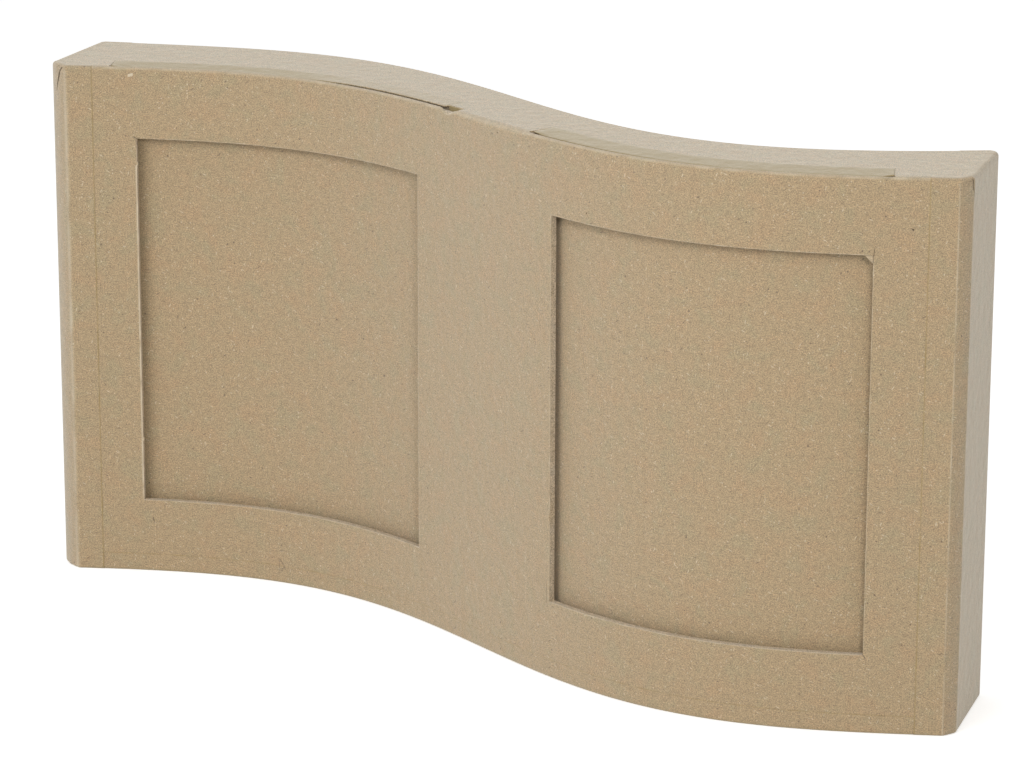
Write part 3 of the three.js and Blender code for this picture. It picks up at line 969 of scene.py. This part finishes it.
class WAVEFRAME_OT_front_cover(WaveFrameOperator, Operator):
    """Lays the front paper, with both windows cut and its edge rolled over the lips of the slots"""

    bl_idname = "wave_frame.front_cover"
    bl_label = "Front cover"

    def make(self, context, layout):
        outline = layout.outline
        paper = layout.paper
        slots = layout.slots
        lay = paper.step
        height = layout.body.height
        slot_blend = 1.2 * MM
        fray = 0.35 * MM
        burrs = (154.6 * MM, 50.9 * MM)
        dent_start = layout.left_slot.notch_end - 0.5 * MM
        dent_end = layout.left_slot.end + 0.3 * MM
        pillar_start = layout.left_slot.end
        pillar_end = layout.right_slot.start

        marks = [edge for a, b in layout.windows for edge in (a - 2 * fray, a - fray, a, b, b + fray)]
        for edge in [edge for slot in slots for edge in (slot.start, slot.end)]:
            marks += [edge + k * slot_blend / 4 for k in range(-4, 5)]
        marks += [dent_start + (dent_end - dent_start) * k / 10 for k in range(11)]
        columns = spaced(paper.end_lap - UNDER_LAP, outline.front_end - paper.end_lap + UNDER_LAP, 2 * MM,
                         *marks)
        marks = [layout.bottom, layout.top, layout.bottom - fray, layout.top + fray]
        marks += [paper.base_lap + reach for reach in LAP_STATIONS]
        marks += [burr + k * fray for burr in burrs for k in range(-3, 4)]
        side = upright(lay, paper.base_lap, height - 4 * MM, 3 * MM, *marks) + [(lay, height - 3.4 * MM)]
        flat = side + rim_profile(layout, lay, paper.rim)
        worn = side + rim_profile(layout, lay, paper.worn_rim)
        lips = [side + lip_profile(layout, lay, drop) for drop in (0, MM)]
        rows = [(k, flat[k][1]) for k in range(len(flat))]

        def shape_at(distance, k):
            """The depth and height of profile point k."""
            on_pillar = min(distance - pillar_start, pillar_end - distance)
            wear = smooth(on_pillar / (8 * MM) + 0.2)
            depth, level = (mixed(a, b, wear) for a, b in zip(flat[k], worn[k]))
            inside = max(min(distance - slot.start, slot.end - distance) for slot in slots)
            slot_share = smooth(inside / slot_blend + 0.5)
            if slot_share:
                slot = min(slots, key=lambda s: abs(distance - (s.start + s.end) / 2))
                lip_level = mixed(lips[0][k][1], lips[1][k][1], slot.lip_drop_at(distance) / MM)
                depth = mixed(depth, lips[0][k][0], slot_share)
                level = mixed(level, lip_level, slot_share)
            if dent_start < distance < dent_end and k >= len(side):
                share = math.sin(math.pi * (distance - dent_start) / (dent_end - dent_start)) ** 2
                level -= paper.dent * share * smooth((level - height + 3 * MM) / (2.5 * MM))
            return depth, level

        def place(distance, row):
            k, flat_level = row
            depth, level = shape_at(distance, k)
            along = up = 0
            if k < len(side):
                along, up = self.fray_at(layout, distance, flat_level, burrs)
            if k < 2:
                up += wander(distance, 51, 3 * paper.ragged)
            return (*outline.at(distance + along, depth), level + up)

        bm = bmesh.new()
        cells = lay_grid(bm, columns, rows, place, flat_lengths(flat))
        self.paint_wear_highlight_and_shade(bm, layout, cells, columns, side)
        cut_windows(bm, cells, columns, rows, layout)
        self.add_fleck(bm, layout)
        self.add_scrap(bm, layout)
        add_piece("front_cover", bm, kraft_paper(), ["front_paper"], paper.thickness,
                  0.07 * MM, (layout, front_strokes(layout), FRONT_CUT))

    def fray_at(self, layout, distance, height, burrs):
        """How far a place on a window's cut edge wanders along the front and up. The left window's left edge
        has burrs."""
        ragged = layout.paper.ragged
        same = 1e-7
        along = up = 0
        for n, (left, right) in enumerate(layout.windows):
            for m, edge in enumerate((left, right)):
                if layout.bottom <= height <= layout.top and abs(distance - edge) < same:
                    along += wander(height, 10 * n + m, ragged)
                    if n == m == 0:
                        from_burr = min(abs(height - burr) for burr in burrs)
                        along += 0.5 * MM * (1 - smooth(from_burr / MM))
            for m, edge in enumerate((layout.bottom, layout.top)):
                if left <= distance <= right and abs(height - edge) < same:
                    up += wander(distance, 10 * n + m + 5, ragged)
        return along, up

    def paint_wear_highlight_and_shade(self, bm, layout, cells, columns, side):
        """Pales the crest of the rim, the cut edges of the windows and a strip beside the left window, partly
        as wear and partly as painted highlight, and paints shadow along the lower edge, where the paper laps
        over the base paper."""
        painted_shade = mask_layer(bm, PAINTED_SHADE)
        worn = mask_layer(bm, WEAR_AND_HIGHLIGHT)
        crest = len(side) + RIM_STEPS // 2
        strip_width = 0.4 * MM
        strip_top = 154 * MM
        for vert, (i, j) in cells.items():
            column = columns[i]
            # The crest of the rim is paled, partly as wear and partly as painted highlight
            vert[worn] = (1 - smooth(abs(j - crest) / 3)) * patchy_strength_at(column, 11, 0.55)
            height = side[j][1] if j < len(side) else layout.body.height
            # The cut edges of the windows are paled, partly as wear and partly as painted highlight
            for a, b in layout.windows:
                if a <= column <= b and layout.bottom <= height <= layout.top:
                    vert[worn] = 1.5 * patchy_strength_at(column + height, 23, 0.5)
            # A strip beside the left window is paled, partly as wear and partly as painted highlight
            from_window = layout.windows[0][0] - column
            if 0 <= from_window < strip_width and layout.bottom < height < strip_top:
                vert[worn] = 1.5 * patchy_strength_at(height, 29, 0.8)
            # Painted shadow along the lower edge, where the paper steps over the base paper's lap
            if j < 2:
                vert[painted_shade] = 1.2 * patchy_strength_at(column, 13, 0.5)

    def add_scrap(self, bm, layout):
        """The paper on the small triangle left standing in a corner of the right window."""
        uv = bm.loops.layers.uv.verify()
        worn = mask_layer(bm, WEAR_AND_HIGHLIGHT)
        depth = 0.4 * MM
        corners = scrap_corners(layout)
        verts = [bm.verts.new((*layout.outline.at(s, depth), z)) for s, z in corners]
        scrap = bm.faces.new(verts)
        for vert, loop, corner in zip(verts, scrap.loops, corners):
            vert[worn] = 0.5
            loop[uv].uv = corner
        scrap.normal_update()
        if scrap.normal.y > 0:
            scrap.normal_flip()

    def add_fleck(self, bm, layout):
        """A pale chip of unbleached pulp near the upper left corner."""
        worn = mask_layer(bm, WEAR_AND_HIGHLIGHT)
        middle = layout.outline.along_front(-151 * MM)
        depth = layout.paper.step - 0.04 * MM
        ragged = 0.8 * MM

        def place(distance, height):
            moved = distance + wander(height, 61, ragged)
            return (*layout.outline.at(moved, depth), height + wander(distance, 62, ragged))

        columns = [middle + x * MM for x in (-0.9, -0.3, 0.4, 0.9)]
        rows = [z * MM for z in (186.7, 187.1, 187.5, 187.8)]
        for vert in lay_grid(bm, columns, rows, place):
            vert[worn] = 1.7


def foot_profile(layout, lay, top, step):
    """From under the base, round its edge and up a side to top."""
    paper = layout.paper
    foot = paper.foot
    profile = [(paper.turn_over, 0)] + bend((lay + foot, foot), foot, -90, 0, FOOT_STEPS)
    return profile + upright(lay, foot + 0.5 * MM, top, step)


def below_rim(layout):
    """Where the straight part of a side ends under its rim."""
    return layout.body.height - layout.paper.rim - 0.5 * MM


def foot_shade(height):
    """How strong the painted shade is near the floor, along the foot."""
    return 1 - smooth(height / (1.2 * MM))


def lay_band(name, layout, start, end, profile, replaced, thickness, step=2 * MM, ragged=0.0, creases=(),
             wear_and_highlight_width=0.0, cuts=None):
    """A band of paper with one profile, laid along the outline from start to end. Its creases are paled over
    a given width, partly as wear and partly as painted highlight, and a band with creases has painted shadow
    along its lap edges and painted shade along its foot."""
    outline = layout.outline
    marks = [crease + k * wear_and_highlight_width / 3 for crease in creases for k in range(-3, 4)]
    for reach in LAP_STATIONS:
        marks += [start + reach, end - reach]
    columns = spaced(start, end, step, *marks)
    runs = flat_lengths(profile)

    def place(distance, row):
        k, run = row
        depth, height = profile[k]
        moved = distance
        if distance == start:
            moved += wander(run, 31, ragged)
        if distance == end:
            moved += wander(run, 37, ragged)
        return (*outline.at(moved, depth), height)

    bm = bmesh.new()
    cells = lay_grid(bm, columns, list(enumerate(runs)), place, runs)
    if creases:
        worn = mask_layer(bm, WEAR_AND_HIGHLIGHT)
        painted_shade = mask_layer(bm, PAINTED_SHADE)
        for vert, (i, j) in cells.items():
            near = min(abs(columns[i] - crease) for crease in creases)
            # The creases are paled, partly as wear and partly as painted highlight
            vert[worn] = 1.2 * (1 - smooth(near / wear_and_highlight_width)) * patchy_strength_at(runs[j], 19, 0.5)
            # Painted shadow along the lap edges and painted shade along the foot
            lapped = patchy_strength_at(runs[j], 17, 0.6) if min(i, len(columns) - 1 - i) < 2 else 0
            vert[painted_shade] = LAP_SHADE * max(foot_shade(profile[j][1]), lapped)
    return add_piece(name, bm, kraft_paper(), replaced, thickness, 0.03 * MM, cuts)


class WAVEFRAME_OT_end_covers(WaveFrameOperator, Operator):
    """Lays the papers of both ends round the upright corners, with their laps on front and rear"""

    bl_idname = "wave_frame.end_covers"
    bl_label = "End covers"

    def make(self, context, layout):
        outline = layout.outline
        lap = layout.paper.end_lap
        top = below_rim(layout)
        profile = foot_profile(layout, 0, top, 6 * MM) + rim_profile(layout, 0, layout.paper.rim)
        # The creases of each end are paled over the given width, partly as wear and partly as painted
        # highlight
        for name, start, end, creases, wear_and_highlight_width in (
            ("right_end", outline.front_end, outline.rear_start,
             (outline.front_end, outline.right_facet_end), 0.5 * MM),
            ("left_end", outline.rear_end, outline.length,
             (outline.left_facet_start, outline.length - 0.5 * MM), 1.5 * MM),
        ):
            lay_band(name + "_cover", layout, start - lap, end + lap, profile, [name + "_paper"], 0.09 * MM,
                     0.7 * MM, layout.paper.ragged, creases, wear_and_highlight_width,
                     (layout, corner_strokes(outline)[name], CORNER_CUT))


class WAVEFRAME_OT_rear_cover(WaveFrameOperator, Operator):
    """Lays the rear paper"""

    bl_idname = "wave_frame.rear_cover"
    bl_label = "Rear cover"

    def make(self, context, layout):
        outline = layout.outline
        paper = layout.paper
        profile = upright(paper.step, paper.base_lap, below_rim(layout), 6 * MM)
        profile += rim_profile(layout, paper.step, paper.rim)
        inset = paper.end_lap - UNDER_LAP
        lay_band("rear_cover", layout, outline.rear_start + inset, outline.rear_end - inset, profile,
                 ["rear_paper"], 0.38 * MM)


class WAVEFRAME_OT_base_cover(WaveFrameOperator, Operator):
    """Lays the base paper, with its laps turned up the front and the rear"""

    bl_idname = "wave_frame.base_cover"
    bl_label = "Base cover"

    def make(self, context, layout):
        outline = layout.outline
        paper = layout.paper
        profile = [(paper.turn_over + 1 * MM, 0)]
        profile += foot_profile(layout, 2 * paper.step, paper.base_lap + 2 * MM, 2 * MM)
        runs = flat_lengths(profile)
        inset = paper.end_lap - UNDER_LAP
        bm = bmesh.new()
        for start, end in ((0, outline.front_end), (outline.rear_start, outline.rear_end)):
            columns = spaced(start + inset, end - inset, 2 * MM)
            cells = lay_grid(bm, columns, profile,
                             lambda s, point: (*outline.at(s, point[0]), point[1]), runs)
            painted_shade = mask_layer(bm, PAINTED_SHADE)
            for vert, (i, j) in cells.items():
                # Painted shade along the foot, where the paper turns under the base
                vert[painted_shade] = LAP_SHADE * foot_shade(profile[j][1])
        self.add_sole(bm, layout)
        add_piece("base_cover", bm, kraft_paper(), ["base_paper"], 0.28 * MM, 0.03 * MM,
                  (layout, front_strokes(layout), FRONT_CUT))

    def add_sole(self, bm, layout):
        """The flat sheet under the base, a hair above the floor."""
        uv = bm.loops.layers.uv.verify()
        outline = layout.outline
        lift = 0.02 * MM
        inset = layout.paper.turn_over - 0.4 * MM
        verts = []
        for distance in reversed(spaced(0, outline.length, 2 * MM)[:-1]):
            verts.append(bm.verts.new((*outline.at(distance, inset), lift)))
        sole = bm.faces.new(verts)
        for loop in sole.loops:
            loop[uv].uv = loop.vert.co.xy


class WAVEFRAME_OT_top_cover(WaveFrameOperator, Operator):
    """Lays the top paper, with its two notches and the flaps that slope down into the slots"""

    bl_idname = "wave_frame.top_cover"
    bl_label = "Top cover"

    def make(self, context, layout):
        outline = layout.outline
        level = layout.body.height - 0.04 * MM
        inset = layout.paper.turn_over - 0.6 * MM
        bm = bmesh.new()
        uv = bm.loops.layers.uv.verify()
        painted_shade = mask_layer(bm, PAINTED_SHADE)
        mask_layer(bm, WEAR_AND_HIGHLIGHT)
        marks = []
        for slot in layout.slots:
            marks += [slot.start, slot.end, slot.flap_start, slot.flap_end, slot.notch_end]
        stations = spaced(0, outline.front_end, 2 * MM, *marks)

        def edges_at(distance):
            """The depths of the sheet's front edge at one place along the front."""
            for slot in layout.slots:
                if distance == slot.start:
                    return inset, slot.fold
                if slot.start < distance < slot.notch_end:
                    return (slot.fold,)
                if distance == slot.notch_end:
                    return slot.fold, inset if slot.notch_end == slot.end else slot.mouth
                if slot.notch_end < distance < slot.end:
                    return (slot.mouth,)
                if distance == slot.end:
                    return slot.mouth, inset
            return (inset,)

        places = [(distance, depth) for distance in stations for depth in edges_at(distance)]
        places += [(distance, inset) for distance in spaced(outline.front_end, outline.length, 2 * MM)[1:-1]]
        sheet = bm.faces.new([bm.verts.new((*outline.at(*place), level)) for place in places])
        for loop in sheet.loops:
            loop[uv].uv = loop.vert.co.xy
        for slot in layout.slots:
            self.add_flap(bm, layout, slot, level, stations, painted_shade)
        self.add_mouth_shade_sheet(bm, layout, layout.left_slot, level, painted_shade)
        paper = kraft_paper("kraft_paper_top", 2.0, 1.3)
        add_piece("top_cover", bm, paper, ["top_paper"], 0.34 * MM, 0.05 * MM)

    def add_mouth_shade_sheet(self, bm, layout, slot, level, painted_shade):
        """Paper turned down at the open end of a slot, which carries painted shade for the dark inside the
        deep slot.
        """
        depth = slot.mouth - 0.36 * MM
        columns = spaced(slot.notch_end, slot.end, 1 * MM)
        rows = spaced(level - 3.5 * MM, level - 0.2 * MM, 0.6 * MM)
        for vert in lay_grid(bm, columns, rows, lambda s, z: (*layout.outline.at(s, depth), z)):
            # Painted shade for the dark inside the deep slot
            vert[painted_shade] = 1.7

    def add_flap(self, bm, layout, slot, level, stations, painted_shade):
        """A flap that starts flat at its fold and slopes down to its free edge, with painted shade on it."""
        uv = bm.loops.layers.uv.verify()
        softness = 0.12
        full = math.hypot(1, softness) - softness
        steps = 10
        columns = [s for s in stations if slot.flap_start <= s <= slot.flap_end]
        rows = [(k, (slot.fold - slot.mouth) * k / steps) for k in range(steps + 1)]

        def place(distance, row):
            share = 1 - row[0] / steps
            fall = (math.hypot(share, softness) - softness) / full
            depth = mixed(slot.fold, slot.tip_at(distance), share)
            return (*layout.outline.at(distance, depth), level - slot.drop_at(distance) * fall)

        for vert, (i, j) in lay_grid(bm, columns, rows, place).items():
            # Painted shade on the flap, stronger where it is pushed down and tilts, where its sheen is weaker
            vert[painted_shade] = (1.3 - 0.8 * slot.level_at(columns[i])) * smooth((steps - j) / 2)
            for loop in vert.link_loops:
                loop[uv].uv = vert.co.xy


class WAVEFRAME_OT_backing(WaveFrameOperator, Operator):
    """Lays the paper on the backing, seen through both windows"""

    bl_idname = "wave_frame.backing"
    bl_label = "Backing paper"

    def make(self, context, layout):
        low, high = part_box("backing_paper")
        edge = 0.2 * MM
        profile = upright(layout.windows_set.backing, low.z, high.z, 6 * MM)
        lay_band("backing_cover", layout, edge, layout.outline.front_end - edge, profile, ["backing_paper"],
                 0.38 * MM)


class WAVEFRAME_OT_boards(WaveFrameOperator, Operator):
    """Gives every board its raw greyboard finish"""

    bl_idname = "wave_frame.boards"
    bl_label = "Boards"

    def make(self, context, layout):
        raw = greyboard()
        for row in frame["record"]["subparts"]:
            if row["material_slot"] == "greyboard":
                board = frame["nodes"][row["node"]]
                board.data.materials.clear()
                board.data.materials.append(raw)


class WAVEFRAME_OT_stage(WaveFrameOperator, Operator):
    """Sets the floor, the lights and the camera"""

    bl_idname = "wave_frame.stage"
    bl_label = "Stage"

    GLOW = 0.55
    AIM = Vector((0, 0, 0.1))
    CAMERA_PLACE = (0.69736, -1.23621, 0.49838)
    CAMERA_HEADING = Vector((-0.4876265, 0.87305235, 0))
    CAMERA_PITCH = math.radians(16.0261)
    CAMERA_ROLL = math.radians(0.1741)
    CAMERA_LENS = 146.667

    def make(self, context, layout):
        stage = context.scene.wave_frame_stage
        self.add_floor(stage)
        self.add_world(context.scene, stage)
        for name, place, size, energy, tint in (
            ("key_light", (-0.4, -1.86, 1.05), 1.3, stage.key, (1, 0.98, 0.95)),
            ("top_light", (-0.2, 0.3, 1.6), 1.2, stage.top, (0.78, 0.91, 1)),
            ("side_light", (1.1, -1.31, 0.93), 0.35, stage.side, (1, 0.96, 0.89)),
        ):
            self.add_light(name, place, size, energy, tint)
        self.add_camera(context.scene)
        context.scene.view_settings.view_transform = "Standard"

    def add_floor(self, stage):
        """A large floor, which looks brighter to the camera than the light that it gives."""
        bm = bmesh.new()
        bmesh.ops.create_grid(bm, x_segments=1, y_segments=1, size=6)
        floor = mesh_object("floor", bm)
        material = bpy.data.materials.new("floor_paint")
        material.use_nodes = True
        nodes = Nodes(material.node_tree)
        paint = material.node_tree.nodes["Principled BSDF"]
        nodes.feed(paint, {"Base Color": (*stage.floor, 1), "Roughness": 0.9, "Specular IOR Level": 0.1})
        glow = nodes.add("ShaderNodeEmission", {"Strength": self.GLOW})
        both = nodes.add("ShaderNodeAddShader", {0: paint.outputs[0], 1: glow.outputs[0]})
        seen = nodes.add("ShaderNodeLightPath").outputs["Is Camera Ray"]
        choice = nodes.add("ShaderNodeMixShader", {0: seen, 1: paint.outputs[0], 2: both.outputs[0]})
        nodes.feed(material.node_tree.nodes["Material Output"], {"Surface": choice.outputs[0]})
        floor.data.materials.append(material)

    def add_world(self, scene, stage):
        """A white backdrop that lights the piece less than it shines."""
        world = bpy.data.worlds.new("studio")
        scene.world = world
        world.use_nodes = True
        nodes = Nodes(world.node_tree)
        lighting = world.node_tree.nodes["Background"]
        nodes.feed(lighting, {"Color": (1, 0.98, 0.95, 1), "Strength": stage.world})
        backdrop = nodes.add("ShaderNodeBackground", {"Color": (1, 1, 1, 1), "Strength": 1})
        rays = nodes.add("ShaderNodeLightPath").outputs
        seen = nodes.most(*[rays[f"Is {kind} Ray"] for kind in ("Camera", "Glossy", "Transmission")])
        choice = nodes.add("ShaderNodeMixShader", {0: seen, 1: lighting.outputs[0], 2: backdrop.outputs[0]})
        nodes.feed(world.node_tree.nodes["World Output"], {"Surface": choice.outputs[0]})

    def add_light(self, name, place, size, energy, tint):
        """A square light that points at the frame."""
        data = bpy.data.lights.new(name, "AREA")
        data.shape = "SQUARE"
        data.size = size
        data.energy = energy
        data.color = tint
        light = add_object(name, data)
        light.location = place
        light.rotation_mode = "QUATERNION"
        light.rotation_quaternion = (self.AIM - Vector(place)).to_track_quat("-Z", "Y")

    def add_camera(self, scene):
        """The photo's camera, as it was fitted to the frame's corners."""
        data = bpy.data.cameras.new("photo_camera")
        data.sensor_width = 36
        data.lens = self.CAMERA_LENS
        data.clip_start = 0.01
        data.clip_end = 50
        camera = add_object("photo_camera", data)
        down = Vector((0, 0, -1))
        ahead = self.CAMERA_HEADING * math.cos(self.CAMERA_PITCH) + down * math.sin(self.CAMERA_PITCH)
        turn = ahead.to_track_quat("-Z", "Y").to_matrix()
        camera.location = self.CAMERA_PLACE
        camera.rotation_mode = "QUATERNION"
        camera.rotation_quaternion = (turn @ Matrix.Rotation(self.CAMERA_ROLL, 3, "Z")).to_quaternion()
        scene.camera = camera


OPERATORS = (
    WAVEFRAME_OT_upright_boards,
    WAVEFRAME_OT_front_cover,
    WAVEFRAME_OT_end_covers,
    WAVEFRAME_OT_rear_cover,
    WAVEFRAME_OT_base_cover,
    WAVEFRAME_OT_top_cover,
    WAVEFRAME_OT_backing,
    WAVEFRAME_OT_boards,
    WAVEFRAME_OT_stage,
)


class WAVEFRAME_PT_panel(Panel):
    """Lists the steps and the settings of the photo frame"""

    bl_label = "Photo frame"
    bl_space_type = "VIEW_3D"
    bl_region_type = "UI"
    bl_category = "Photo frame"

    def draw(self, context):
        for name, group in SETTINGS.items():
            box = self.layout.box()
            box.label(text=group.__doc__)
            for field in group.__annotations__:
                box.prop(getattr(context.scene, name), field)
        for operator in OPERATORS:
            self.layout.operator(operator.bl_idname)


CLASSES = (*SETTINGS.values(), *OPERATORS, WAVEFRAME_PT_panel)


def register():
    """Adds the classes and the scene's settings."""
    for cls in CLASSES:
        bpy.utils.register_class(cls)
    for name, group in SETTINGS.items():
        setattr(bpy.types.Scene, name, PointerProperty(type=group))


def unregister():
    """Takes them away again."""
    for name in SETTINGS:
        delattr(bpy.types.Scene, name)
    for cls in reversed(CLASSES):
        bpy.utils.unregister_class(cls)


def main():
    """Registers the classes and runs every step."""
    register()
    for operator in OPERATORS:
        family, name = operator.bl_idname.split(".")
        getattr(getattr(bpy.ops, family), name)()


if __name__ == "__main__":
    main()
